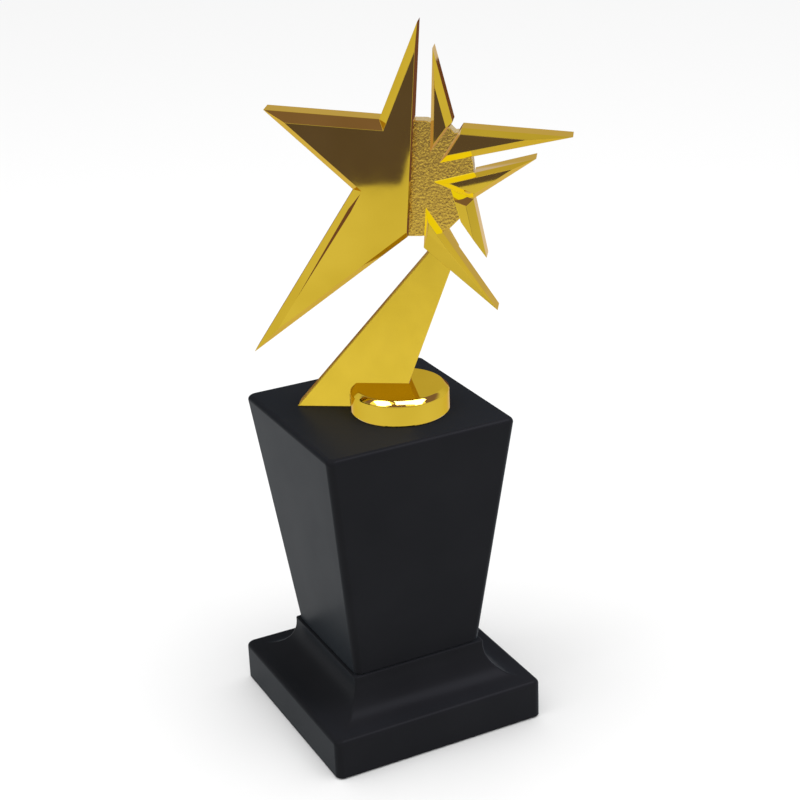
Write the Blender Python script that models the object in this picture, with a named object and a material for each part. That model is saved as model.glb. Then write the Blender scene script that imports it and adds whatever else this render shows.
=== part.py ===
"""Star trophy: a gold star of one large half and five shards, held by a fin in a disc,
on a black tapered column and a moulded plinth. A long tie rod clamps the base together."""

from math import cos, pi, radians, sin

import bmesh
import bpy
from mathutils import Matrix, Vector

# All lengths below are millimetres. Heights named *_Z are measured from the table.
MM = 0.001
GAP = 0.3

# Base
FELT_SIDE = 84.0
FELT_THICKNESS = 1.2
FELT_SEAT_Z = FELT_THICKNESS + GAP
PLINTH_Z = 0.4
PLINTH_SIDE = 91.0
SLAB_TOP_Z = 17.0
SLAB_FLAT = 3.2
LEDGE_SIDE = 57.4
LEDGE_RIM = 1.6
LEDGE_Z = 32.0
COLUMN_FOOT_SIDE = 55.2
COLUMN_TOP_SIDE = 78.5
COLUMN_Z = LEDGE_Z + GAP
COLUMN_TOP_Z = 131.0
EDGE_ROUND = 2.0
EDGE_BREAK = 0.5
CORNER_ROUND = 3.0
MITRE_ROUND = 0.9

# Tie rod and its hardware
ROD_RADIUS = 3.0
ROD_HOLE_RADIUS = 3.5
COUNTERBORE_RADIUS = 11.0
ROD_CHAMFER = 0.8
COUNTERBORE_Z = 10.5
WASHER_RADIUS = 9.0
WASHER_THICKNESS = 1.6
WASHER_BREAK = 0.2
NUT_FLATS = 10.0
NUT_HEIGHT = 5.0
NUT_CHAMFER = 0.6

# Figure: its frame has X to the star's right, -Y out of the star's face and Z up,
# with its origin in the middle of the column's top.
FIGURE_TURN = -34.0
FIGURE_BACK = 1.0
DISC_X = 9.4
DISC_FORWARD = 4.0
DISC_RADIUS = 19.1
DISC_HEIGHT = 10.0
DISC_BEVEL = 2.0
DISC_BREAK = 0.4
DISC_FLOOR = 4.8
FIN_THICKNESS = 7.0

# Depths of the star, counted out from the fin's front face
STAR_WALL = 8.0
STAR_BEVEL = 4.5
PLATE_THICKNESS = 6.5
PEG_RADIUS = 1.2

# Screws: head radius, shank radius, length
METAL_SCREW = (2.7, 1.5, 10.5)
WOOD_SCREW = (4.0, 1.9, 38.0)
HEAD_RIM = 0.3
SOCKET_WIDTH = 0.55
SOCKET_DEPTH = 0.45
POINT_WIDTH = 0.25

# Corners (x, z) in the figure's frame, clockwise, each with the width of the bevel
# on the edge that starts at it.
STAR_BODY = [
    (22.0, 150.0, 0.0),     # tip of the top arm, above the straight cut
    (15.8, 71.6, 2.3),      # foot of the cut
    (-44.7, 25.9, 3.0),     # tip of the long lower-left arm
    (-3.6, 89.6, 3.0),      # notch at the left
    (-34.9, 119.3, 3.0),    # tip of the left arm
    (7.1, 115.5, 3.0),      # notch under the top arm
]
SHARDS = {
    "shard_top": [(27.0, 140.7, 2.1), (33.4, 114.1, 1.0), (25.0, 103.2, 1.5)],
    "shard_right": [(36.6, 112.0, 1.2), (76.2, 108.3, 3.2), (28.2, 99.2, 0.5)],
    "shard_lower_right": [(26.1, 92.1, 0.6), (63.1, 100.6, 2.2), (40.5, 86.1, 2.9)],
    "shard_small": [(32.1, 89.2, 2.2), (40.3, 85.75, 2.6), (44.6, 63.4, 0.8), (35.1, 78.2, 0.8)],
    "shard_bottom": [(22.7, 82.4, 1.1), (48.3, 43.1, 6.5), (21.5, 67.4, 1.6)],
}
SHARD_PEGS = {
    "shard_top": (28.0, 110.3),
    "shard_right": (33.4, 103.8),
    "shard_lower_right": (36.0, 91.2),
    "shard_small": (36.0, 83.0),
    "shard_bottom": (24.7, 75.4),
}
CORE_PLATE = [
    (12.0, 114.8), (23.8, 114.3), (32.3, 111.5), (34.0, 109.7), (35.0, 110.0), (38.6, 105.0), (40.2, 99.0),
    (40.4, 95.2), (39.2, 84.0), (35.0, 78.0), (30.9, 74.0), (21.2, 71.3), (9.0, 71.3),
]
FIN = [
    (-31.0, GAP), (22.9, 63.6), (22.9, 73.8), (17.5, 76.0), (17.5, 88.0), (33.0, 88.0), (33.0, 78.6),
    (27.9, 73.6), (33.2, 63.6), (12.9, GAP + DISC_HEIGHT), (12.9, DISC_FLOOR + 2 * GAP),
    (-10.2, DISC_FLOOR + 2 * GAP), (-10.2, GAP),
]
BODY_SCREWS = {"body_screw_lower": (13.0, 80.0), "body_screw_upper": (14.9, 105.0)}
STAR_SCREWS = {"star_screw_left": (20.6, 82.5), "star_screw_right": (30.0, 82.5)}
FIN_SCREWS = {"fin_screw_left": -7.0, "fin_screw_right": 8.0}
COLUMN_SCREWS = {"column_screw_left": -15.0, "column_screw_right": 15.0}

# Points on round outlines, and steps along curved profiles
CIRCLE = 48
DISC_CIRCLE = 96
ROD_CIRCLE = 32
SCREW_CIRCLE = 24
CORNER_STEPS = 5
EDGE_STEPS = 5
COVE_STEPS = 10


# ---------------------------------------------------------------- scene, materials and objects

def clear_scene():
    for old in list(bpy.data.objects):
        bpy.data.objects.remove(old, do_unlink=True)


def make_material(name, colour, roughness, metallic):
    material = bpy.data.materials.new(name)
    material.use_nodes = True
    shader = material.node_tree.nodes["Principled BSDF"]
    shader.inputs["Base Color"].default_value = (*colour, 1.0)
    shader.inputs["Roughness"].default_value = roughness
    shader.inputs["Metallic"].default_value = metallic
    return material


def make_object(name, mesh, material, parent=None):
    piece = bpy.data.objects.new(name, mesh)
    if material:
        piece.data.materials.append(material)
    piece.parent = parent
    bpy.context.collection.objects.link(piece)
    return piece


def make_cutter(name, mesh, parent=None):
    cutter = make_object(name, mesh, None, parent)
    cutter.hide_render = True
    cutter.display_type = "WIRE"
    return cutter


def apply_boolean(piece, tool, operation="DIFFERENCE"):
    modifier = piece.modifiers.new(f"{operation.lower()} {tool.name}", "BOOLEAN")
    modifier.operation = operation
    modifier.object = tool
    modifier.solver = "EXACT"


# ---------------------------------------------------------------- loops of points, joined into solids

def rounded_square(side, radius, z):
    """Corner arcs of a square, counter-clockwise, at height z."""
    centre = side / 2 - radius
    points = []
    for quarter in range(4):
        corner = Matrix.Rotation(quarter * pi / 2, 2) @ Vector((centre, centre))
        for step in range(CORNER_STEPS + 1):
            angle = (quarter + step / CORNER_STEPS) * pi / 2
            points.append(Vector((corner.x + radius * cos(angle), corner.y + radius * sin(angle), z)))
    return points


def circle(radius, z, centre=(0.0, 0.0), count=CIRCLE):
    return [Vector((centre[0] + radius * cos(2 * pi * i / count),
                    centre[1] + radius * sin(2 * pi * i / count), z)) for i in range(count)]


def hexagon(flats, z, centre=(0.0, 0.0), count=CIRCLE):
    """Points at even angles on a regular hexagon, its flats' distance apart given."""
    points = []
    for i in range(count):
        angle = 2 * pi * i / count
        side_angle = (angle % (pi / 3)) - pi / 6
        radius = flats / 2 / cos(side_angle)
        points.append(Vector((centre[0] + radius * cos(angle), centre[1] + radius * sin(angle), z)))
    return points


def upright(outline, y):
    """An (x, z) outline of the figure, stood up at depth y."""
    return [Vector((x, y, z)) for x, z in outline]


def loft(name, loops, ring=False):
    """Closed solid through loops of equal count: capped at both ends, or closed into a ring."""
    bm = bmesh.new()
    rows = [[bm.verts.new(point * MM) for point in loop] for loop in loops]
    count = len(rows[0])
    pairs = list(zip(rows, rows[1:])) + ([(rows[-1], rows[0])] if ring else [])
    for low, high in pairs:
        for i in range(count):
            j = (i + 1) % count
            bm.faces.new((low[i], low[j], high[j], high[i]))
    if not ring:
        bm.faces.new(rows[0])
        bm.faces.new(rows[-1])
    bmesh.ops.recalc_face_normals(bm, faces=bm.faces)
    mesh = bpy.data.meshes.new(name)
    bm.to_mesh(mesh)
    bm.free()
    return mesh


def shade_round(mesh, angle=35.0):
    mesh.shade_smooth()
    mesh.set_sharp_from_angle(angle=radians(angle))
    return mesh


def offset_outline(outline, widths):
    """Each edge of a clockwise outline moved in by its own width; corners are where they meet."""
    count = len(outline)
    lines = []
    for i in range(count):
        start, end = Vector(outline[i]), Vector(outline[(i + 1) % count])
        along = (end - start).normalized()
        shift = Vector((along.y, -along.x)) * widths[i]
        lines.append((start + shift, along))
    corners = []
    for i in range(count):
        (p, d), (q, e) = lines[i - 1], lines[i]
        reach = (q - p).cross(e) / d.cross(e)
        corners.append(tuple(p + d * reach))
    return corners


# ---------------------------------------------------------------- base

def build_felt_pad(felt):
    mesh = loft("felt_pad", [rounded_square(FELT_SIDE, CORNER_ROUND, 0.0),
                             rounded_square(FELT_SIDE, CORNER_ROUND, FELT_THICKNESS)])
    return make_object("felt_pad", mesh, felt)


def broken_foot(side, z):
    """Rows (side, corner radius, z) of a block's foot with its bottom edge broken."""
    return [(side - 2 * EDGE_BREAK, CORNER_ROUND - EDGE_BREAK, z), (side, CORNER_ROUND, z + EDGE_BREAK)]


def rounded_top(side, z):
    """Rows of a block's top edge, rounded over to height z."""
    rows = []
    for step in range(EDGE_STEPS + 1):
        angle = step / EDGE_STEPS * pi / 2
        inset, drop = EDGE_ROUND * (1 - cos(angle)), EDGE_ROUND * (1 - sin(angle))
        rows.append((side - 2 * inset, CORNER_ROUND, z - drop))
    return rows


def cove_rows():
    """Rows of the plinth's hollow moulding, from the slab's top up to the ledge."""
    outer = PLINTH_SIDE / 2 - EDGE_ROUND - SLAB_FLAT
    width = outer - LEDGE_SIDE / 2
    height = LEDGE_Z - LEDGE_RIM - SLAB_TOP_Z
    rows = []
    for step in range(COVE_STEPS + 1):
        angle = step / COVE_STEPS * pi / 2
        rows.append((2 * (outer - width * sin(angle)), MITRE_ROUND, SLAB_TOP_Z + height * (1 - cos(angle))))
    rows.append((LEDGE_SIDE, MITRE_ROUND, LEDGE_Z - EDGE_BREAK))
    rows.append((LEDGE_SIDE - 2 * EDGE_BREAK, MITRE_ROUND, LEDGE_Z))
    return rows


def build_plinth(lacquer):
    rows = broken_foot(PLINTH_SIDE, PLINTH_Z) + rounded_top(PLINTH_SIDE, SLAB_TOP_Z) + cove_rows()
    mesh = loft("plinth", [rounded_square(*row) for row in rows])
    plinth = make_object("plinth", shade_round(mesh), lacquer)
    seat_side = FELT_SIDE + 2 * GAP
    seat = loft("felt_seat", [rounded_square(seat_side, CORNER_ROUND, -1.0),
                              rounded_square(seat_side, CORNER_ROUND, FELT_SEAT_Z)])
    apply_boolean(plinth, make_cutter("felt_seat", seat))
    apply_boolean(plinth, round_cutter("plinth_rod_hole", ROD_HOLE_RADIUS, 0.0, LEDGE_Z + 2))
    apply_boolean(plinth, round_cutter("plinth_counterbore", COUNTERBORE_RADIUS, 0.0, COUNTERBORE_Z))
    for name, x in COLUMN_SCREWS.items():
        apply_boolean(plinth, screw_cutter(f"{name}_plinth_hole", WOOD_SCREW, (x, 0.0, FELT_SEAT_Z)))
    return plinth


def build_column(lacquer):
    rows = broken_foot(COLUMN_FOOT_SIDE, COLUMN_Z) + rounded_top(COLUMN_TOP_SIDE, COLUMN_TOP_Z)
    mesh = loft("column", [rounded_square(*row) for row in rows])
    column = make_object("column", shade_round(mesh), lacquer)
    apply_boolean(column, round_cutter("column_rod_hole", ROD_HOLE_RADIUS, COLUMN_Z - 2, COLUMN_TOP_Z + 2))
    for name, x in COLUMN_SCREWS.items():
        apply_boolean(column, screw_cutter(f"{name}_column_hole", WOOD_SCREW, (x, 0.0, FELT_SEAT_Z)))
    return column


# ---------------------------------------------------------------- fasteners

def round_cutter(name, radius, low, high, centre=(0.0, 0.0), parent=None):
    mesh = loft(name, [circle(radius, low, centre), circle(radius, high, centre)])
    return make_cutter(name, mesh, parent)


def screw_loops(size, grow=0.0):
    """Countersunk screw with its head's top at z = 0 and its point along +Z."""
    head, shank, length = size
    cone = head - shank
    rows = [(head, -grow), (head, HEAD_RIM), (shank, HEAD_RIM + cone), (shank, length - shank + grow),
            (POINT_WIDTH * shank, length + grow)]
    return [circle(radius + grow, z, count=SCREW_CIRCLE) for radius, z in rows]


def build_screw(name, size, steel, place, parent=None, aim=None):
    width, depth = 2 * size[0] * SOCKET_WIDTH, size[0] * SOCKET_DEPTH
    socket = [hexagon(width, depth, count=SCREW_CIRCLE), hexagon(width, 0.0, count=SCREW_CIRCLE)]
    mesh = shade_round(loft(name, socket + screw_loops(size)))
    screw = make_object(name, mesh, steel, parent)
    place_screw(screw, place, aim)
    return screw


def screw_cutter(name, size, place, parent=None, aim=None):
    mesh = loft(name, screw_loops(size, grow=GAP))
    cutter = make_cutter(name, mesh, parent)
    place_screw(cutter, place, aim)
    return cutter


def place_screw(piece, place, aim):
    """Head at place; the point goes up, or along aim."""
    piece.location = Vector(place) * MM
    if aim is not None:
        piece.rotation_euler = Vector(aim).to_track_quat("Z", "X").to_euler()


def build_tie_rod(steel):
    low, high = FELT_SEAT_Z + 1.0, COLUMN_TOP_Z + DISC_FLOOR
    tip = ROD_RADIUS - ROD_CHAMFER
    rows = [(tip, low), (ROD_RADIUS, low + ROD_CHAMFER), (ROD_RADIUS, high - ROD_CHAMFER), (tip, high)]
    loops = [circle(radius, z, count=ROD_CIRCLE) for radius, z in rows]
    return make_object("tie_rod", shade_round(loft("tie_rod", loops)), steel)


def build_washer(steel):
    high = COUNTERBORE_Z - GAP
    low = high - WASHER_THICKNESS
    bore = ROD_RADIUS + GAP
    edge = WASHER_RADIUS - WASHER_BREAK
    rows = [(bore, low), (edge, low), (WASHER_RADIUS, low + WASHER_BREAK),
            (WASHER_RADIUS, high - WASHER_BREAK), (edge, high), (bore, high)]
    loops = [circle(radius, z) for radius, z in rows]
    return make_object("tie_rod_washer", shade_round(loft("tie_rod_washer", loops, ring=True)), steel)


def build_nut(steel):
    high = COUNTERBORE_Z - WASHER_THICKNESS - 2 * GAP
    low = high - NUT_HEIGHT
    bore = ROD_RADIUS + GAP
    face = NUT_FLATS / 2 - 0.1
    loops = [circle(bore, low), circle(face, low), hexagon(NUT_FLATS, low + NUT_CHAMFER),
             hexagon(NUT_FLATS, high - NUT_CHAMFER), circle(face, high), circle(bore, high)]
    return make_object("tie_rod_nut", loft("tie_rod_nut", loops, ring=True), steel)


# ---------------------------------------------------------------- disc and fin

def build_disc(gold, figure):
    low, high = GAP, GAP + DISC_HEIGHT
    half = DISC_BREAK / 2
    rows = [(DISC_RADIUS - DISC_BREAK, low), (DISC_RADIUS, low + DISC_BREAK),
            (DISC_RADIUS, high - DISC_BEVEL - half), (DISC_RADIUS - half, high - DISC_BEVEL),
            (DISC_RADIUS - DISC_BEVEL, high - half), (DISC_RADIUS - DISC_BEVEL - DISC_BREAK, high)]
    loops = [circle(radius, z, (DISC_X, -DISC_FORWARD), DISC_CIRCLE) for radius, z in rows]
    disc = make_object("disc_foot", shade_round(loft("disc_foot", loops), 25.0), gold, figure)
    slot = [(-20.0, GAP + DISC_FLOOR), (-20.0, high + 5), (13.2, high + 5), (13.2, GAP + DISC_FLOOR)]
    cheek = FIN_THICKNESS / 2 + GAP
    slot_mesh = loft("disc_slot", [upright(slot, -cheek), upright(slot, cheek)])
    apply_boolean(disc, make_cutter("disc_slot", slot_mesh, figure))
    hole = round_cutter("disc_rod_hole", ROD_RADIUS + GAP, -2.0, DISC_FLOOR + 2, (0.0, -FIGURE_BACK), figure)
    apply_boolean(disc, hole)
    for name, x in FIN_SCREWS.items():
        apply_boolean(disc, screw_cutter(f"{name}_disc_hole", METAL_SCREW, (x, 0.0, GAP), figure))
    return disc


def build_fin(gold, figure):
    half = FIN_THICKNESS / 2
    mesh = loft("fin", [upright(FIN, -half), upright(FIN, half)])
    fin = make_object("fin", mesh, gold, figure)
    for name, x in FIN_SCREWS.items():
        apply_boolean(fin, screw_cutter(f"{name}_fin_hole", METAL_SCREW, (x, 0.0, GAP), figure))
    for name, (x, z) in STAR_SCREWS.items():
        cutter = screw_cutter(f"{name}_fin_hole", METAL_SCREW, (x, half, z), figure, aim=(0, -1, 0))
        apply_boolean(fin, cutter)
    return fin


# ---------------------------------------------------------------- star

def star_back():
    return -FIN_THICKNESS / 2 - GAP


def bevelled_block(name, corners):
    """Upright wall, then bevels of the edges' own widths, then the flat face."""
    outline = [(x, z) for x, z, width in corners]
    face = offset_outline(outline, [width for x, z, width in corners])
    back = star_back()
    return loft(name, [upright(outline, back), upright(outline, back - STAR_WALL),
                       upright(face, back - STAR_WALL - STAR_BEVEL)])


def plate_pocket(name, figure):
    """Cutter for the room that the core plate takes in its neighbours."""
    grown = offset_outline(CORE_PLATE, [-GAP] * len(CORE_PLATE))
    back = star_back()
    mesh = loft(name, [upright(grown, back + 5), upright(grown, back - PLATE_THICKNESS - GAP)])
    return make_cutter(name, mesh, figure)


def build_star_body(gold, figure):
    body = make_object("star_body", bevelled_block("star_body", STAR_BODY), gold, figure)
    apply_boolean(body, plate_pocket("body_pocket", figure))
    for name, (x, z) in BODY_SCREWS.items():
        cutter = screw_cutter(f"{name}_body_hole", METAL_SCREW, (x, star_back(), z), figure, aim=(0, -1, 0))
        apply_boolean(body, cutter)
    return body


def peg_mesh(name, spot, radius, low, high):
    """Upright cylinder through the plate, from depth low to depth high."""
    ring = circle(radius, 0.0, spot, SCREW_CIRCLE)
    return loft(name, [[Vector((p.x, depth, p.y)) for p in ring] for depth in (low, high)])


def build_core_plate(gold, figure):
    back = star_back()
    mesh = loft("core_plate", [upright(CORE_PLATE, back), upright(CORE_PLATE, back - PLATE_THICKNESS)])
    plate = make_object("core_plate", mesh, gold, figure)
    for name, spot in SHARD_PEGS.items():
        hole = peg_mesh(f"{name}_peg_hole", spot, PEG_RADIUS + GAP, back + 2, back - PLATE_THICKNESS - 2)
        apply_boolean(plate, make_cutter(f"{name}_peg_hole", hole, figure))
    for name, (x, z) in BODY_SCREWS.items():
        cutter = screw_cutter(f"{name}_plate_hole", METAL_SCREW, (x, back, z), figure, aim=(0, -1, 0))
        apply_boolean(plate, cutter)
    for name, (x, z) in STAR_SCREWS.items():
        head_spot = (x, FIN_THICKNESS / 2, z)
        cutter = screw_cutter(f"{name}_plate_hole", METAL_SCREW, head_spot, figure, aim=(0, -1, 0))
        apply_boolean(plate, cutter)
    return plate


def build_shard(name, corners, gold, figure):
    shard = make_object(name, bevelled_block(name, corners), gold, figure)
    apply_boolean(shard, plate_pocket(f"{name}_pocket", figure))
    back = star_back()
    peg = peg_mesh(f"{name}_peg", SHARD_PEGS[name], PEG_RADIUS, back - GAP, back - PLATE_THICKNESS - 2)
    apply_boolean(shard, make_cutter(f"{name}_peg", peg, figure), "UNION")
    return shard


# ---------------------------------------------------------------- the trophy

def build_trophy():
    clear_scene()
    lacquer = make_material("black lacquer", (0.010, 0.010, 0.012), 0.32, 0.0)
    gold = make_material("gold mirror", (0.80, 0.52, 0.10), 0.12, 1.0)
    blasted = make_material("gold blasted", (0.62, 0.42, 0.10), 0.55, 1.0)
    steel = make_material("steel", (0.55, 0.56, 0.58), 0.35, 1.0)
    felt = make_material("felt", (0.02, 0.02, 0.02), 0.95, 0.0)

    build_felt_pad(felt)
    build_plinth(lacquer)
    build_column(lacquer)
    build_tie_rod(steel)
    build_washer(steel)
    build_nut(steel)
    for name, x in COLUMN_SCREWS.items():
        build_screw(name, WOOD_SCREW, steel, (x, 0.0, FELT_SEAT_Z))

    figure = bpy.data.objects.new("figure", None)
    bpy.context.collection.objects.link(figure)
    turn = radians(FIGURE_TURN)
    figure.rotation_euler = (0.0, 0.0, turn)
    figure.location = Vector((-sin(turn) * FIGURE_BACK, cos(turn) * FIGURE_BACK, COLUMN_TOP_Z)) * MM

    build_disc(gold, figure)
    build_fin(gold, figure)
    build_star_body(gold, figure)
    build_core_plate(blasted, figure)
    for name, corners in SHARDS.items():
        build_shard(name, corners, gold, figure)
    for name, x in FIN_SCREWS.items():
        build_screw(name, METAL_SCREW, steel, (x, 0.0, GAP), figure)
    for name, (x, z) in STAR_SCREWS.items():
        build_screw(name, METAL_SCREW, steel, (x, FIN_THICKNESS / 2, z), figure, aim=(0, -1, 0))
    for name, (x, z) in BODY_SCREWS.items():
        build_screw(name, METAL_SCREW, steel, (x, star_back(), z), figure, aim=(0, -1, 0))


build_trophy()
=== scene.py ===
"""Looks of the star trophy: a polished gold star of one large half and five shards on a blasted core,
held by a satin fin on a polished disc, on a black lacquered column and plinth with a felt underside."""

from math import cos, degrees, pi, radians, sin

import bmesh
import bpy
from mathutils import Matrix, Vector, noise


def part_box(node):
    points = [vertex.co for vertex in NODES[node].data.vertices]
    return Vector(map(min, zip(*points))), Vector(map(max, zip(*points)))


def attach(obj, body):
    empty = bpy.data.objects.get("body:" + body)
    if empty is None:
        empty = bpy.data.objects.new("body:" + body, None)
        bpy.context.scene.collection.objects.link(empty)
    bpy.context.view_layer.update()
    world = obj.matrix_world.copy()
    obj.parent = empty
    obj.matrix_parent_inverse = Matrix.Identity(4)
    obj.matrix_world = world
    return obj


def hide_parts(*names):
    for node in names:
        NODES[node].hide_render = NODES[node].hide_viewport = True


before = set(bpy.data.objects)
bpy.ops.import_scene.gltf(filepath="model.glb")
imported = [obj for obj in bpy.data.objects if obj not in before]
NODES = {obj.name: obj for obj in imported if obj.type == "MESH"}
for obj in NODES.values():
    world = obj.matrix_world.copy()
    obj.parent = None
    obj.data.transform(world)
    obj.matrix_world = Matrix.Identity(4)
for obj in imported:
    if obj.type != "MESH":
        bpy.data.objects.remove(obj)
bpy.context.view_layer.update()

MM = 0.001
PLINTH_LOW, PLINTH_HIGH = (Vector(corner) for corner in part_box("plinth"))
COLUMN_LOW, COLUMN_HIGH = (Vector(corner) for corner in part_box("column"))
FELT_LOW, FELT_HIGH = (Vector(corner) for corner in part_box("felt_pad"))

# ---------------------------------------------------------------- sizes, in metres

# Figure: turned about the column's axis, its star facing along FACE
FIGURE_TURN = radians(-34.0)
FIGURE_ORIGIN = Vector((-sin(FIGURE_TURN), cos(FIGURE_TURN), 0.0)) * MM
FACE = Vector((sin(FIGURE_TURN), -cos(FIGURE_TURN), 0.0))
SIDE = Vector((cos(FIGURE_TURN), sin(FIGURE_TURN), 0.0))
UP = Vector((0.0, 0.0, 1.0))
STAR_BACK = 3.8 * MM
STAR_WALL = 8.0 * MM
SHARDS = ("shard_top", "shard_right", "shard_lower_right", "shard_small", "shard_bottom")

# Edges of the metal, rounded by polishing: widths, the shortest rounded on the fin, the angles from
# which an edge is rounded and shaded sharp, and the tolerance on the level of the star's wall tops
STAR_EDGE = 0.13 * MM
FIN_EDGE = 0.35 * MM
FIN_SHORTEST = 1.5 * MM
FLAT_ANGLE = radians(8.0)
SMOOTH_ANGLE = radians(35.0)
FRONT_MARGIN = 0.05 * MM

# Facet ground along the lower left arm's bevel: places along the edge, widths out and in, and how
# near a vertex counts as one of its corners
FACET_START, FACET_WIDEST, FACET_END = 0.015, 0.14, 0.77
FACET_OUT = 1.5 * MM
FACET_IN = 0.45 * MM
CORNER_REACH = 0.02 * MM

# Blasted face of the core plate: mesh size, relief's depth and zero level, and grains per metre
VOXEL = 0.25 * MM
GRAIN = 0.045 * MM
GRAIN_LEVEL = 0.4
GRAIN_SCALE = 1 / (0.62 * MM)

# Disc's shoulder: height, crown of its slope and rows across it; the slot for the fin is drawn in
# to the fin's own thickness
SHOULDER = 2.2 * MM
SHOULDER_BREAK = 0.2 * MM
SHOULDER_CROWN = 0.05 * MM
SHOULDER_ROWS = 8
SLOT_HALF = 3.8 * MM
FIN_HALF = 3.52 * MM

# Base: sides and heights
PLINTH_SIDE = PLINTH_HIGH.x - PLINTH_LOW.x
PLINTH_FOOT_Z = 0.4 * MM
SLAB_TOP_Z = 17.0 * MM
SLAB_FLAT = 3.2 * MM
LEDGE_SIDE = 57.4 * MM
LEDGE_RIM = 1.6 * MM
LEDGE_Z = PLINTH_HIGH.z
COLUMN_FOOT_Z = LEDGE_Z + 0.05 * MM
COLUMN_FOOT_SIDE = 55.2 * MM
COLUMN_TOP_SIDE = COLUMN_HIGH.x - COLUMN_LOW.x
COLUMN_TOP_Z = COLUMN_HIGH.z
EDGE_ROUND = 2.0 * MM
FOOT_ROUND = 0.5 * MM
CORNER_ROUND = 3.0 * MM
MITRE_ROUND = 0.9 * MM
FELT_SIDE = FELT_HIGH.x - FELT_LOW.x
FELT_TOP_Z = FELT_HIGH.z
FELT_GAP = 0.3 * MM
# Felt's edge from the floor up: inset and height in millimetres
FELT_EDGE = ((1.2, 0.0), (0.3, 0.05), (0.0, 0.35), (0.0, 0.9), (0.35, 1.2), (1.2, 1.2))

# Finishes: lowest and highest tone and the range of roughness; tints at glancing angles and of sheen
POLISHED = ((0.54, 0.375, 0.030), (0.59, 0.415, 0.038), (0.03, 0.05))
SATIN = ((0.61, 0.43, 0.034), (0.67, 0.475, 0.042), (0.22, 0.27))
GOLD_EDGE = (0.87, 0.70, 0.48, 1.0)
# Blasted gold: its tone runs from the grain's pits, darkened by painted shade, up to its peaks
BLASTED_WITH_PIT_SHADE = ((0.45, 0.285, 0.045), (0.66, 0.445, 0.060), (0.18, 0.24))
LACQUER = ((0.0093, 0.0093, 0.0106), (0.0112, 0.0112, 0.0127), (0.31, 0.35))
LACQUER_EDGE = (0.93, 0.98, 1.0, 1.0)
LACQUER_SHEEN = (0.55, 0.80, 1.0, 1.0)
ZINC = ((0.42, 0.43, 0.45), (0.58, 0.59, 0.61), (0.25, 0.42))
WOOL = ((0.012, 0.012, 0.013), (0.035, 0.035, 0.037))

# Camera
TARGET = Vector((0.0, 0.0, 0.135))
AZIMUTH = radians(-26.122)
ELEVATION = radians(22.5)
ROLL = radians(-2.388)
DISTANCE = 682.3 * MM
SIDE_STEP = 8.9 * MM
UP_STEP = -1.7 * MM
LENS = 79.2
SENSOR = 36.0
AWAY = Vector((-sin(AZIMUTH), cos(AZIMUTH), 0.0))
RIGHT = Vector((cos(AZIMUTH), sin(AZIMUTH), 0.0))

# Floor, world light as the scene and as mirrors see it, and softboxes: name, place to the right,
# towards the viewer and up
FLOOR_REACH = 15.0
FLOOR_COLOUR = (0.88, 0.88, 0.88, 1.0)
WORLD_COLOUR = (0.9, 0.9, 0.9, 1.0)
WORLD_MIRRORED = (0.20, 0.19, 0.22, 1.0)
WORLD_STRENGTH = 1.14
SOFTBOXES = (("softbox_left", -0.60, 0.25, 1.20), ("softbox_right", 0.45, 0.35, 1.20))
SOFTBOX_SIZE = 0.7
SOFTBOX_STRENGTH = 1.8
SOFTBOX_AIM = Vector((0.0, 0.0, 0.14))

# Tent round the metal: radius, light, azimuths over which the front passes into the back, heights
# in degrees where its ceiling starts in front and behind, how softly, and its cloths' height over
# the floor
TENT = 3.0
TENT_LIGHT = Vector((1.05, 1.05, 1.05))
BACK_LIGHT = Vector((0.84, 0.84, 0.84))
TOP_LIGHT = Vector((0.34, 0.24, 0.72))
BEHIND = (120.0, 150.0)
CEILING_FRONT, CEILING_BACK = 34.0, 60.0
CEILING_SOFT, CEILING_BACK_SOFT = 6.0, 10.0
CLOTH_Z = 0.004

# Dark room seen through the tent's front: colour, near edge, and the notch in it
ROOM_COLOUR = (0.165, 0.136, 0.50)
ROOM_EDGE = 0.805
ROOM_NOTCH = 0.11
NOTCH_RISE, NOTCH_FALL = (-14.35, -13.55), (-13.5, -13.2)
ROOM_AZIMUTHS = [*range(-71, -17, 2), *(-17 + 0.1 * step for step in range(60)), *range(-11, 41, 2)]

# Brown cloth on the floor behind, seen in the narrow side walls: colour, near and far edges, spread
BACK_COLOUR = (0.20, 0.09, 0.05)
BACK_REACH = (0.30, 2.0)
BACK_AZIMUTHS = range(159, 203, 2)

# Light that the blasted core throws back onto the shards that stand on it: name, lowest and
# highest edges, colour. It stays clear of the star's cut edge.
BOUNCES = (("core_bounce_low", 0.190, 0.229, (1.45, 1.50, 0.12)),
           ("core_bounce_high", 0.229, 0.260, (0.75, 0.55, 0.30)))
BOUNCE_DEPTH = 0.3 * MM
BOUNCE_LEFT = 20.0 * MM

# Dark violet banner at the left, which the gold turns brown in the facet along the lower left arm
BANNER_COLOUR = (0.25, 0.13, 0.38)
BANNER_REACH = (1.0, 27.0)
BANNER_AZIMUTHS = range(-104, -70, 2)
BANNER_DISTANCE = 2.5

# Lights overhead: name, left and right ends, near and far edges. The strips are seen in the
# disc's shoulder and the panel in the lacquered mouldings.
OVERHEAD_HEIGHT = 1.10
STRIPS = (("strip_left", -0.80, -0.27, 0.46, 0.0), ("strip_right", -0.12, 0.76, 0.46, 0.0))
STRIP_COLOUR = (14.0, 14.0, 30.0)
PANELS = (("panel", 0.35, 0.95, 0.45, -0.35),)
PANEL_COLOUR = (6.5, 6.35, 7.5)


# ---------------------------------------------------------------- small tools

def show(name, mesh, material, *replaced):
    """Puts a mesh in the scene as a piece that rides with the trophy, in its material's slot."""
    piece = bpy.data.objects.new(name, mesh)
    bpy.context.collection.objects.link(piece)
    mesh.materials.clear()
    mesh.materials.append(material)
    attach(piece, "root")
    if replaced:
        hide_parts(*replaced)
    return piece


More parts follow.
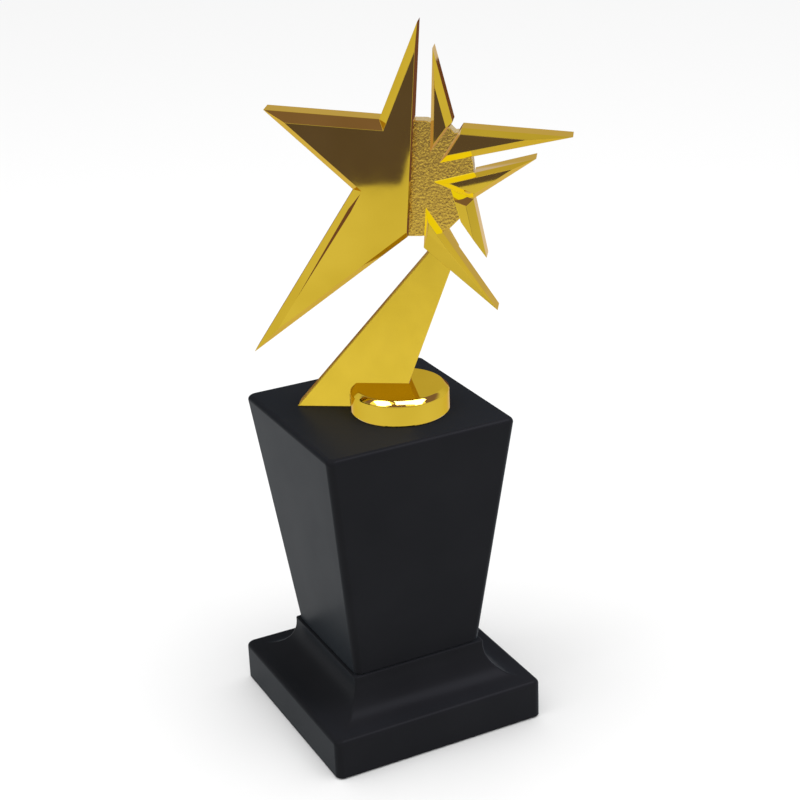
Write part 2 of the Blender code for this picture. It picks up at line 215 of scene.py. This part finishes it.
def apply_modifiers(piece):
    """Swaps a piece's mesh for the result of its modifiers."""
    graph = bpy.context.evaluated_depsgraph_get()
    result = bpy.data.meshes.new_from_object(piece.evaluated_get(graph))
    piece.modifiers.clear()
    piece.data = result


def weighted_normals(piece, sharp_corners=()):
    """Flat faces keep their own normals, so only the small rounded edges catch the light. Edges at
    sharp corners, and those that they meet, stay sharp."""
    mesh = piece.data
    mesh.shade_smooth()
    mesh.set_sharp_from_angle(angle=SMOOTH_ANGLE)
    ground = {vertex.index for vertex in mesh.vertices
              if any((vertex.co - corner).length < CORNER_REACH for corner in sharp_corners)}
    touched = {i for edge in mesh.edges if ground.intersection(edge.vertices) for i in edge.vertices}
    for edge in mesh.edges:
        if touched.intersection(edge.vertices):
            edge.use_edge_sharp = True
    modifier = piece.modifiers.new("weighted normals", "WEIGHTED_NORMAL")
    modifier.weight = 100
    modifier.keep_sharp = True


def cad_solid(node):
    """A CAD node's surface as a bmesh, its triangles merged into flat faces."""
    bm = bmesh.new()
    bm.from_mesh(NODES[node].data)
    bmesh.ops.remove_doubles(bm, verts=bm.verts, dist=1e-6)
    bmesh.ops.dissolve_limit(bm, angle_limit=radians(0.5), verts=bm.verts, edges=bm.edges)
    return bm


def round_edges(bm, width, wanted, segments=2):
    """Rounds the sharp edges for which wanted(edge) is true."""
    edges = [e for e in bm.edges if len(e.link_faces) == 2 and e.calc_face_angle() > FLAT_ANGLE and wanted(e)]
    bmesh.ops.bevel(bm, geom=edges, offset=width, segments=segments, profile=0.5, affect="EDGES",
                    clamp_overlap=False)


def to_mesh(bm, name):
    mesh = bpy.data.meshes.new(name)
    bm.to_mesh(mesh)
    bm.free()
    return mesh


def depth(point):
    """Distance out of the figure's middle plane, towards its face."""
    return (point - FIGURE_ORIGIN).dot(FACE)


# ---------------------------------------------------------------- node materials

def new_material(name, roughness, metallic=0.0, specular=0.5):
    material = bpy.data.materials.new(name)
    material.use_nodes = True
    shader = material.node_tree.nodes["Principled BSDF"]
    shader.inputs["Roughness"].default_value = roughness
    shader.inputs["Metallic"].default_value = metallic
    shader.inputs["Specular IOR Level"].default_value = specular
    return material, shader


def add_noise(material, scale, detail=2.0, stretch=(1.0, 1.0, 1.0)):
    """Noise in the object's own coordinates; scale is in features per metre."""
    tree = material.node_tree
    place = tree.nodes.new("ShaderNodeTexCoord")
    mapping = tree.nodes.new("ShaderNodeMapping")
    mapping.inputs["Scale"].default_value = stretch
    texture = tree.nodes.new("ShaderNodeTexNoise")
    texture.inputs["Scale"].default_value = scale
    texture.inputs["Detail"].default_value = detail
    tree.links.new(place.outputs["Object"], mapping.inputs["Vector"])
    tree.links.new(mapping.outputs["Vector"], texture.inputs["Vector"])
    return texture.outputs["Fac"]


def add_ramp(material, factor, stops):
    """Colour ramp on a factor; stops are (position, colour)."""
    tree = material.node_tree
    ramp = tree.nodes.new("ShaderNodeValToRGB")
    for element, (position, colour) in zip(ramp.color_ramp.elements, stops):
        element.position = position
        element.color = (*colour, 1.0)
    tree.links.new(factor, ramp.inputs["Fac"])
    return ramp.outputs["Color"]


def add_range(material, factor, low, high):
    """Maps a factor's middle range onto low..high."""
    tree = material.node_tree
    remap = tree.nodes.new("ShaderNodeMapRange")
    remap.inputs["From Min"].default_value = 0.3
    remap.inputs["From Max"].default_value = 0.7
    remap.inputs["To Min"].default_value = low
    remap.inputs["To Max"].default_value = high
    tree.links.new(factor, remap.inputs["Value"])
    return remap.outputs["Result"]


def add_bump(material, height, distance):
    tree = material.node_tree
    bump = tree.nodes.new("ShaderNodeBump")
    bump.inputs["Distance"].default_value = distance
    tree.links.new(height, bump.inputs["Height"])
    return bump.outputs["Normal"]


def gold_material(name, low, high, roughness):
    """Gold plate: a slow drift of tone, uneven polish and the faint waves of a cast face."""
    material, shader = new_material(name, 0.1, metallic=1.0)
    shader.inputs["Specular Tint"].default_value = GOLD_EDGE
    link = material.node_tree.links.new
    tone = add_ramp(material, add_noise(material, 38.0), [(0.35, low), (0.65, high)])
    link(tone, shader.inputs["Base Color"])
    link(add_range(material, add_noise(material, 160.0, 3.0), *roughness), shader.inputs["Roughness"])
    link(add_bump(material, add_noise(material, 45.0, 1.0), 0.02 * MM), shader.inputs["Normal"])
    return material


def make_blasted():
    """Sand-blasted gold: its tone follows the grain's relief, held in the mesh as an attribute, with painted
    shade darkening the pits; its roughness varies at random.
    """
    material, shader = new_material("blasted gold", 0.35, metallic=1.0)
    link = material.node_tree.links.new
    low, high, roughness = BLASTED_WITH_PIT_SHADE
    grain = material.node_tree.nodes.new("ShaderNodeAttribute")
    grain.attribute_name = "grain"
    # Painted shade: the lower the grain's relief, the darker the tone
    tone = add_ramp(material, grain.outputs["Fac"], [(0.25, low), (0.75, high)])
    link(tone, shader.inputs["Base Color"])
    link(add_range(material, add_noise(material, 500.0), *roughness), shader.inputs["Roughness"])
    link(add_bump(material, add_noise(material, 3200.0), 0.03 * MM), shader.inputs["Normal"])
    return material


def make_lacquer():
    """Satin black lacquer: a slow drift of tone and gloss, and the fine orange peel of a sprayed coat."""
    material, shader = new_material("satin lacquer", 0.34, specular=0.024)
    shader.inputs["Specular Tint"].default_value = LACQUER_EDGE
    shader.inputs["Sheen Weight"].default_value = 0.05
    shader.inputs["Sheen Roughness"].default_value = 0.4
    shader.inputs["Sheen Tint"].default_value = LACQUER_SHEEN
    link = material.node_tree.links.new
    low, high, roughness = LACQUER
    tone = add_ramp(material, add_noise(material, 30.0), [(0.3, low), (0.7, high)])
    link(tone, shader.inputs["Base Color"])
    link(add_range(material, add_noise(material, 60.0), *roughness), shader.inputs["Roughness"])
    link(add_bump(material, add_noise(material, 700.0, 1.0), 0.004 * MM), shader.inputs["Normal"])
    return material


def make_steel():
    """Zinc-plated steel of the screws, rod, nut and washer."""
    material, shader = new_material("zinc", 0.3, metallic=1.0)
    link = material.node_tree.links.new
    low, high, roughness = ZINC
    tone = add_ramp(material, add_noise(material, 300.0, 3.0), [(0.3, low), (0.7, high)])
    link(tone, shader.inputs["Base Color"])
    link(add_range(material, add_noise(material, 900.0, 3.0), *roughness), shader.inputs["Roughness"])
    link(add_bump(material, add_noise(material, 2500.0), 0.004 * MM), shader.inputs["Normal"])
    return material


def make_felt():
    """Black wool felt, its fibres lying mostly one way."""
    material, shader = new_material("wool felt", 0.95, specular=0.1)
    shader.inputs["Sheen Weight"].default_value = 0.25
    link = material.node_tree.links.new
    fibres = add_noise(material, 2600.0, 4.0, stretch=(1.0, 0.35, 1.0))
    low, high = WOOL
    link(add_ramp(material, fibres, [(0.3, low), (0.7, high)]), shader.inputs["Base Color"])
    link(add_bump(material, fibres, 0.10 * MM), shader.inputs["Normal"])
    return material


# ---------------------------------------------------------------- base

def rounded_square(side, radius, z, steps=8):
    """Corner arcs of a square, counter-clockwise, at height z."""
    centre = side / 2 - radius
    points = []
    for quarter in range(4):
        corner = Matrix.Rotation(quarter * pi / 2, 2) @ Vector((centre, centre))
        for step in range(steps + 1):
            angle = (quarter + step / steps) * pi / 2
            points.append(Vector((corner.x + radius * cos(angle), corner.y + radius * sin(angle), z)))
    return points


def loft(name, loops, ring=False):
    """Closed solid through loops of equal count, capped at both ends or closed into a ring."""
    bm = bmesh.new()
    rows = [[bm.verts.new(point) for point in loop] for loop in loops]
    count = len(rows[0])
    pairs = list(zip(rows, rows[1:])) + ([(rows[-1], rows[0])] if ring else [])
    for low, high in pairs:
        for i in range(count):
            j = (i + 1) % count
            bm.faces.new((low[i], low[j], high[j], high[i]))
    if not ring:
        bm.faces.new(rows[0])
        bm.faces.new(rows[-1])
    bmesh.ops.recalc_face_normals(bm, faces=bm.faces)
    return to_mesh(bm, name)


def quarter_rows(side, z, radius, corner, rising, steps=8):
    """Rows of a rounded edge: rising turns it under the block's foot, else over its top."""
    rows = []
    for step in range(steps + 1):
        angle = step / steps * pi / 2
        inset = radius * (1 - sin(angle)) if rising else radius * (1 - cos(angle))
        lift = radius * (1 - cos(angle)) if rising else -radius * (1 - sin(angle))
        rows.append((side - 2 * inset, max(corner - 0.4 * inset, 0.2 * corner), z + lift))
    return rows


def cove_rows(steps=28):
    """Rows of the hollow moulding, from the slab's top up to the ledge."""
    outer = PLINTH_SIDE / 2 - EDGE_ROUND - SLAB_FLAT
    width = outer - LEDGE_SIDE / 2
    height = LEDGE_Z - LEDGE_RIM - SLAB_TOP_Z
    rows = []
    for step in range(steps + 1):
        angle = step / steps * pi / 2
        rows.append((2 * (outer - width * sin(angle)), MITRE_ROUND, SLAB_TOP_Z + height * (1 - cos(angle))))
    return rows + quarter_rows(LEDGE_SIDE, LEDGE_Z, FOOT_ROUND, MITRE_ROUND, rising=False, steps=4)


def build_plinth(lacquer):
    """Slab, cove and ledge, with the felt's recess underneath."""
    seat, seat_z = FELT_SIDE + 2 * FELT_GAP, FELT_TOP_Z + FELT_GAP
    rows = [(seat - 2 * MM, CORNER_ROUND, seat_z), (seat, CORNER_ROUND, seat_z),
            (seat, CORNER_ROUND, PLINTH_FOOT_Z)]
    rows += quarter_rows(PLINTH_SIDE, PLINTH_FOOT_Z, FOOT_ROUND, CORNER_ROUND, rising=True, steps=4)
    rows += quarter_rows(PLINTH_SIDE, SLAB_TOP_Z, EDGE_ROUND, CORNER_ROUND, rising=False)
    rows += cove_rows()
    mesh = loft("plinth_lacquered", [rounded_square(*row) for row in rows])
    plinth = show("plinth_lacquered", mesh, lacquer, "plinth")
    weighted_normals(plinth)
    return plinth


def build_column(lacquer):
    """Tapered block; mirrors don't show it."""
    rows = quarter_rows(COLUMN_FOOT_SIDE, COLUMN_FOOT_Z, FOOT_ROUND, CORNER_ROUND, rising=True, steps=4)
    rows += quarter_rows(COLUMN_TOP_SIDE, COLUMN_TOP_Z, EDGE_ROUND, CORNER_ROUND, rising=False)
    mesh = loft("column_lacquered", [rounded_square(*row) for row in rows])
    column = show("column_lacquered", mesh, lacquer, "column")
    weighted_normals(column)
    column.visible_glossy = False
    return column


def build_felt(felt):
    """Felt pad: soft cut edge and a slightly uneven face."""
    mesh = loft("felt_sheet", [rounded_square(FELT_SIDE - 2 * inset * MM, CORNER_ROUND, FELT_LOW.z + z * MM)
                               for inset, z in FELT_EDGE])
    piece = show("felt_sheet", mesh, felt, "felt_pad")
    piece.data.shade_smooth()


# ---------------------------------------------------------------- figure

def grind_facet(bm):
    """Slim facet along the inner edge of the lower left arm's bevel, widest near the notch; returns
    the corners it has and touches."""
    face = max(bm.faces, key=lambda f: depth(f.calc_center_median()))
    tip = min(face.verts, key=lambda vertex: vertex.co.z)
    sides = [e for e in tip.link_edges if e in face.edges[:]]
    edge, far_edge = sorted(sides, key=lambda e: e.other_vert(tip).co.dot(SIDE))
    notch, far = edge.other_vert(tip), far_edge.other_vert(tip)
    bevel = next(f for f in edge.link_faces if f != face)
    along = tip.co - notch.co
    outward = along.cross(bevel.normal).normalized()
    inward = along.cross(face.normal).normalized()
    if outward.dot(face.normal) > 0:
        outward.negate()
    if inward.dot(far.co - tip.co) < 0:
        inward.negate()
    widest = notch.co + along * FACET_WIDEST
    top, out, inner, end = (bm.verts.new(place) for place in (
        notch.co + along * FACET_START, widest + outward * FACET_OUT, widest + inward * FACET_IN,
        notch.co + along * FACET_END))
    for old, middle in ((bevel, out), (face, inner)):
        corners = list(old.verts)
        start, stop = corners.index(notch), corners.index(tip)
        if corners[(start + 1) % len(corners)] is tip:
            corners[start + 1:start + 1] = [top, middle, end]
        else:
            corners[stop + 1:stop + 1] = [end, middle, top]
        bm.faces.new(corners)
    bm.faces.new((top, out, inner))
    bm.faces.new((out, end, inner))
    bmesh.ops.delete(bm, geom=[edge], context="EDGES")
    bmesh.ops.recalc_face_normals(bm, faces=bm.faces)
    return {top, out, inner, end, notch, tip}


def build_block(node, gold):
    """A faceted casting: its face, bevel and wall edges polished slightly round."""
    bm = cad_solid(node)
    ground = grind_facet(bm) if node == "star_body" else set()
    sharp_corners = [vertex.co.copy() for vertex in ground]
    front = STAR_BACK + STAR_WALL - FRONT_MARGIN
    round_edges(bm, STAR_EDGE, lambda edge: any(depth(v.co) > front for v in edge.verts)
                and not ground.intersection(edge.verts))
    piece = show(f"{node}_polished", to_mesh(bm, f"{node}_polished"), gold, node)
    weighted_normals(piece, sharp_corners)
    return piece


def build_plate(blasted):
    """Core plate with a blasted grain over its whole surface; mirrors don't show it."""
    mesh = to_mesh(cad_solid("core_plate"), "core_plate_blasted")
    piece = show("core_plate_blasted", mesh, blasted, "core_plate")
    remesh = piece.modifiers.new("even mesh", "REMESH")
    remesh.mode = "VOXEL"
    remesh.voxel_size = VOXEL
    apply_modifiers(piece)
    mesh = piece.data
    grain = mesh.attributes.new("grain", "FLOAT", "POINT")
    normals = [vertex.normal.copy() for vertex in mesh.vertices]
    for vertex, normal, value in zip(mesh.vertices, normals, grain.data):
        height = noise.noise(vertex.co * GRAIN_SCALE) + 0.5 * noise.noise(vertex.co * 2.1 * GRAIN_SCALE)
        # The grain attribute holds the relief's height, which the material turns into painted shade in the
        # pits
        value.value = 0.5 + 0.5 * height
        vertex.co += normal * (GRAIN * (height - GRAIN_LEVEL))
    mesh.shade_smooth()
    piece.visible_glossy = False
    return piece


def build_fin(satin):
    """Leaning fin, its long edges polished round."""
    bm = cad_solid("fin")
    round_edges(bm, FIN_EDGE, lambda edge: edge.calc_length() > FIN_SHORTEST, segments=3)
    piece = show("fin_satin", to_mesh(bm, "fin_satin"), satin, "fin")
    weighted_normals(piece)
    return piece


def build_disc(gold):
    """Disc foot, the slope of its turned shoulder polished to a slight crown."""
    bm = cad_solid("disc_foot")
    low, high = (Vector(corner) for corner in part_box("disc_foot"))
    centre, radius = (low + high) / 2, (high.x - low.x) / 2
    slope = SHOULDER - 2 * SHOULDER_BREAK
    for row in range(1, SHOULDER_ROWS):
        level = UP * (high.z - SHOULDER_BREAK - slope * row / SHOULDER_ROWS)
        bmesh.ops.bisect_plane(bm, geom=[*bm.verts, *bm.edges, *bm.faces], plane_co=level, plane_no=UP)
    for vertex in bm.verts:
        away = depth(vertex.co)
        if abs(abs(away) - SLOT_HALF) < 0.05 * MM:
            vertex.co -= FACE * ((abs(away) - FIN_HALF) * (1 if away > 0 else -1))
        outward = (vertex.co - centre) * Vector((1.0, 1.0, 0.0))
        along = (high.z - vertex.co.z - SHOULDER_BREAK) / slope
        on_slope = abs(outward.length - (radius - SHOULDER + high.z - vertex.co.z)) < 0.05 * MM
        if 0.0 < along < 1.0 and on_slope:
            lift = SHOULDER_CROWN * 4 * along * (1 - along)
            vertex.co += (outward.normalized() + UP) * lift
    piece = show("disc_polished", to_mesh(bm, "disc_polished"), gold, "disc_foot")
    weighted_normals(piece)
    piece.visible_glossy = False
    return piece


def finish_carried_nodes(steel):
    """CAD nodes whose shape is right keep it and take the finished material."""
    for node in ("tie_rod", "tie_rod_washer", "tie_rod_nut", "column_screw_left", "column_screw_right",
                 "fin_screw_left", "fin_screw_right", "star_screw_left", "star_screw_right",
                 "body_screw_lower", "body_screw_upper"):
        NODES[node].material_slots[0].material = steel


# ---------------------------------------------------------------- stage, lights and camera

def studio_point(right, towards, up):
    """A point from metres to the right, towards the viewer and up."""
    return RIGHT * right - AWAY * towards + UP * up


def collect(name, pieces):
    """A collection of pieces, as the receivers of a light."""
    collection = bpy.data.collections.new(name)
    for piece in pieces:
        collection.objects.link(piece)
    return collection


def build_floor():
    mesh = bpy.data.meshes.new("floor")
    corners = [(FLOOR_REACH * x, FLOOR_REACH * y, 0) for x, y in ((-1, -1), (1, -1), (1, 1), (-1, 1))]
    mesh.from_pydata(corners, [], [(0, 1, 2, 3)])
    floor = bpy.data.objects.new("floor", mesh)
    bpy.context.collection.objects.link(floor)
    material, shader = new_material("floor", 0.9, specular=0.0)
    shader.inputs["Base Color"].default_value = FLOOR_COLOUR
    mesh.materials.append(material)


def smooth(low, high, value):
    """0 below low, 1 above high, eased between."""
    t = min(max((value - low) / (high - low), 0.0), 1.0)
    return t * t * (3.0 - 2.0 * t)


def stage_cloth(name, mesh, colour, receivers):
    """Glowing cloth that only its receivers reflect, of one colour or of its mesh's own colours."""
    material = bpy.data.materials.new(name)
    material.use_nodes = True
    tree = material.node_tree
    tree.nodes.clear()
    emission = tree.nodes.new("ShaderNodeEmission")
    if colour:
        emission.inputs["Color"].default_value = (*colour, 1.0)
    else:
        glow = tree.nodes.new("ShaderNodeAttribute")
        glow.attribute_name = "light"
        tree.links.new(glow.outputs["Color"], emission.inputs["Color"])
    output = tree.nodes.new("ShaderNodeOutputMaterial")
    tree.links.new(emission.outputs["Emission"], output.inputs["Surface"])
    mesh.materials.append(material)
    cloth = bpy.data.objects.new(name, mesh)
    bpy.context.collection.objects.link(cloth)
    for flag in ("visible_camera", "visible_diffuse", "visible_shadow", "visible_transmission"):
        setattr(cloth, flag, False)
    cloth.light_linking.receiver_collection = receivers


def sweep(name, rows, azimuths, place, light=None):
    """A grid through place(row, azimuth), each corner glowing by light(row, azimuth)."""
    bm = bmesh.new()
    glow = bm.verts.layers.float_color.new("light") if light else None
    lines = []
    for row in rows:
        line = [bm.verts.new(place(row, radians(azimuth))) for azimuth in azimuths]
        for vertex, azimuth in zip(line, azimuths):
            if light:
                vertex[glow] = (*light(row, azimuth), 1.0)
        lines.append(line)
    for low, high in zip(lines, lines[1:]):
        for i in range(len(azimuths) - 1):
            bm.faces.new((low[i], low[i + 1], high[i + 1], high[i]))
    return to_mesh(bm, name)


def dome_light(elevation, azimuth):
    """Bright low down all round, darker overhead; behind, the light reaches higher."""
    behind = smooth(*BEHIND, abs(azimuth))
    ceiling = CEILING_FRONT + (CEILING_BACK - CEILING_FRONT) * behind
    top = smooth(ceiling - CEILING_SOFT, ceiling + CEILING_SOFT + CEILING_BACK_SOFT * behind, elevation)
    return TENT_LIGHT.lerp(BACK_LIGHT, behind).lerp(TOP_LIGHT, top)


def room_edge(azimuth):
    """Near edge of the dark room, notched where the star's cut edge sees more of the pale floor."""
    notch = smooth(*NOTCH_RISE, azimuth) * (1.0 - smooth(*NOTCH_FALL, azimuth))
    return ROOM_EDGE + ROOM_NOTCH * notch


def on_dome(elevation, azimuth, radius=TENT):
    """A point on the dome; elevation is in degrees and azimuth in radians."""
    rise = radians(elevation)
    reach = radius * cos(rise)
    return studio_point(reach * sin(azimuth), reach * cos(azimuth), radius * sin(rise))


def on_floor(distance, azimuth):
    """A point just over the floor; azimuth is in radians."""
    return studio_point(distance * sin(azimuth), distance * cos(azimuth), CLOTH_Z)


def build_banner(receivers):
    """Upright cloth at the left, inside the tent."""
    def place(elevation, azimuth):
        return on_dome(elevation, azimuth, BANNER_DISTANCE)

    stage_cloth("banner", sweep("banner", BANNER_REACH, BANNER_AZIMUTHS, place), BANNER_COLOUR, receivers)


def build_tent(receivers):
    """Pale tent round the metal, with the dark room on the floor in front and brown cloth behind."""
    def on_room(far, azimuth):
        return on_floor(TENT - 0.1 if far else room_edge(degrees(azimuth)), azimuth)

    rows = [-1.0] + [3.0 * step for step in range(1, 30)] + [89.0]
    dome = sweep("tent", rows, range(-180, 181, 3), on_dome, dome_light)
    stage_cloth("tent", dome, None, receivers)
    room = sweep("dark_room", (False, True), ROOM_AZIMUTHS, on_room)
    stage_cloth("dark_room", room, ROOM_COLOUR, receivers)
    back = sweep("brown_cloth", BACK_REACH, BACK_AZIMUTHS, on_floor)
    stage_cloth("brown_cloth", back, BACK_COLOUR, receivers)


def build_bounces(receivers):
    """Parts of the core's face, glowing for the shards whose walls stand on it."""
    for name, lowest, highest, colour in BOUNCES:
        bm = cad_solid("core_plate")
        front = max(depth(vertex.co) for vertex in bm.verts)
        hidden = [face for face in bm.faces if any(depth(v.co) < front - 0.1 * MM for v in face.verts)]
        bmesh.ops.delete(bm, geom=hidden, context="FACES")
        cuts = ((FIGURE_ORIGIN + SIDE * BOUNCE_LEFT, -SIDE), (UP * lowest, -UP), (UP * highest, UP))
        for place, outside in cuts:
            bmesh.ops.bisect_plane(bm, geom=[*bm.verts, *bm.edges, *bm.faces], plane_co=place,
                                   plane_no=outside, clear_outer=True)
        for vertex in bm.verts:
            vertex.co -= FACE * BOUNCE_DEPTH
        stage_cloth(name, to_mesh(bm, name), colour, receivers)


def new_area_light(name, width, height, strength):
    """Rectangular light; strength is its glow as seen in a mirror."""
    light = bpy.data.lights.new(name, "AREA")
    light.shape = "RECTANGLE"
    light.size, light.size_y = width, height
    light.energy = strength * width * height * pi
    lamp = bpy.data.objects.new(name, light)
    bpy.context.collection.objects.link(lamp)
    lamp.visible_camera = False
    return lamp


def build_softboxes():
    """Square lights facing the figure."""
    for name, right, towards, up in SOFTBOXES:
        lamp = new_area_light(name, SOFTBOX_SIZE, SOFTBOX_SIZE, SOFTBOX_STRENGTH)
        lamp.location = studio_point(right, towards, up)
        aim = SOFTBOX_AIM - lamp.location
        lamp.rotation_euler = aim.to_track_quat("-Z", "Y").to_euler()


def build_overhead(lights, colour, receivers):
    """Level lights that only their receivers see: name, left and right ends, near and far edges."""
    for name, left, right, near, far in lights:
        width, length = right - left, near - far
        lamp = new_area_light(name, width, length, 1.0)
        lamp.data.color = colour
        lamp.location = studio_point((left + right) / 2, (near + far) / 2, OVERHEAD_HEIGHT)
        lamp.rotation_euler.z = AZIMUTH
        lamp.light_linking.receiver_collection = receivers


def build_world():
    """Pale light all round, dimmer where a mirror sees it."""
    world = bpy.data.worlds.new("studio")
    bpy.context.scene.world = world
    world.use_nodes = True
    tree = world.node_tree
    background = tree.nodes["Background"]
    path = tree.nodes.new("ShaderNodeLightPath")
    mix = tree.nodes.new("ShaderNodeMix")
    mix.data_type = "RGBA"
    mix.inputs["A"].default_value = WORLD_COLOUR
    mix.inputs["B"].default_value = WORLD_MIRRORED
    tree.links.new(path.outputs["Is Glossy Ray"], mix.inputs["Factor"])
    tree.links.new(mix.outputs["Result"], background.inputs["Color"])
    background.inputs["Strength"].default_value = WORLD_STRENGTH


def build_camera():
    """Camera on the target from its azimuth and elevation, rolled and stepped aside a little."""
    back = Vector((sin(AZIMUTH) * cos(ELEVATION), -cos(AZIMUTH) * cos(ELEVATION), sin(ELEVATION)))
    level = (-back).cross(UP).normalized()
    upward = level.cross(-back)
    side = level * cos(ROLL) + upward * sin(ROLL)
    top = upward * cos(ROLL) - level * sin(ROLL)
    data = bpy.data.cameras.new("camera")
    data.lens = LENS
    data.sensor_width = SENSOR
    data.clip_start = 0.01
    camera = bpy.data.objects.new("camera", data)
    place = TARGET + back * DISTANCE + side * SIDE_STEP + top * UP_STEP
    turn = Matrix((side, top, back)).transposed().to_4x4()
    camera.matrix_world = Matrix.Translation(place) @ turn
    bpy.context.collection.objects.link(camera)
    bpy.context.scene.camera = camera


# ---------------------------------------------------------------- the scene

build_camera()
build_floor()
build_world()
build_softboxes()

gold = gold_material("polished gold", *POLISHED)
satin = gold_material("satin gold", *SATIN)
blasted = make_blasted()
lacquer = make_lacquer()
steel = make_steel()
felt = make_felt()

plinth = build_plinth(lacquer)
column = build_column(lacquer)
build_felt(felt)
body = build_block("star_body", gold)
shards = [build_block(shard, gold) for shard in SHARDS]
for shard in shards:
    shard.visible_glossy = False
disc = build_disc(gold)
metal = [body, *shards, disc, build_plate(blasted), build_fin(satin)]
finish_carried_nodes(steel)

build_tent(collect("metal", metal))
build_bounces(collect("shards", shards))
build_banner(collect("body", [body]))
build_overhead(STRIPS, STRIP_COLOUR, collect("disc", [disc]))
build_overhead(PANELS, PANEL_COLOUR, collect("base", [plinth, column]))

bpy.context.scene.view_settings.view_transform = "Standard"
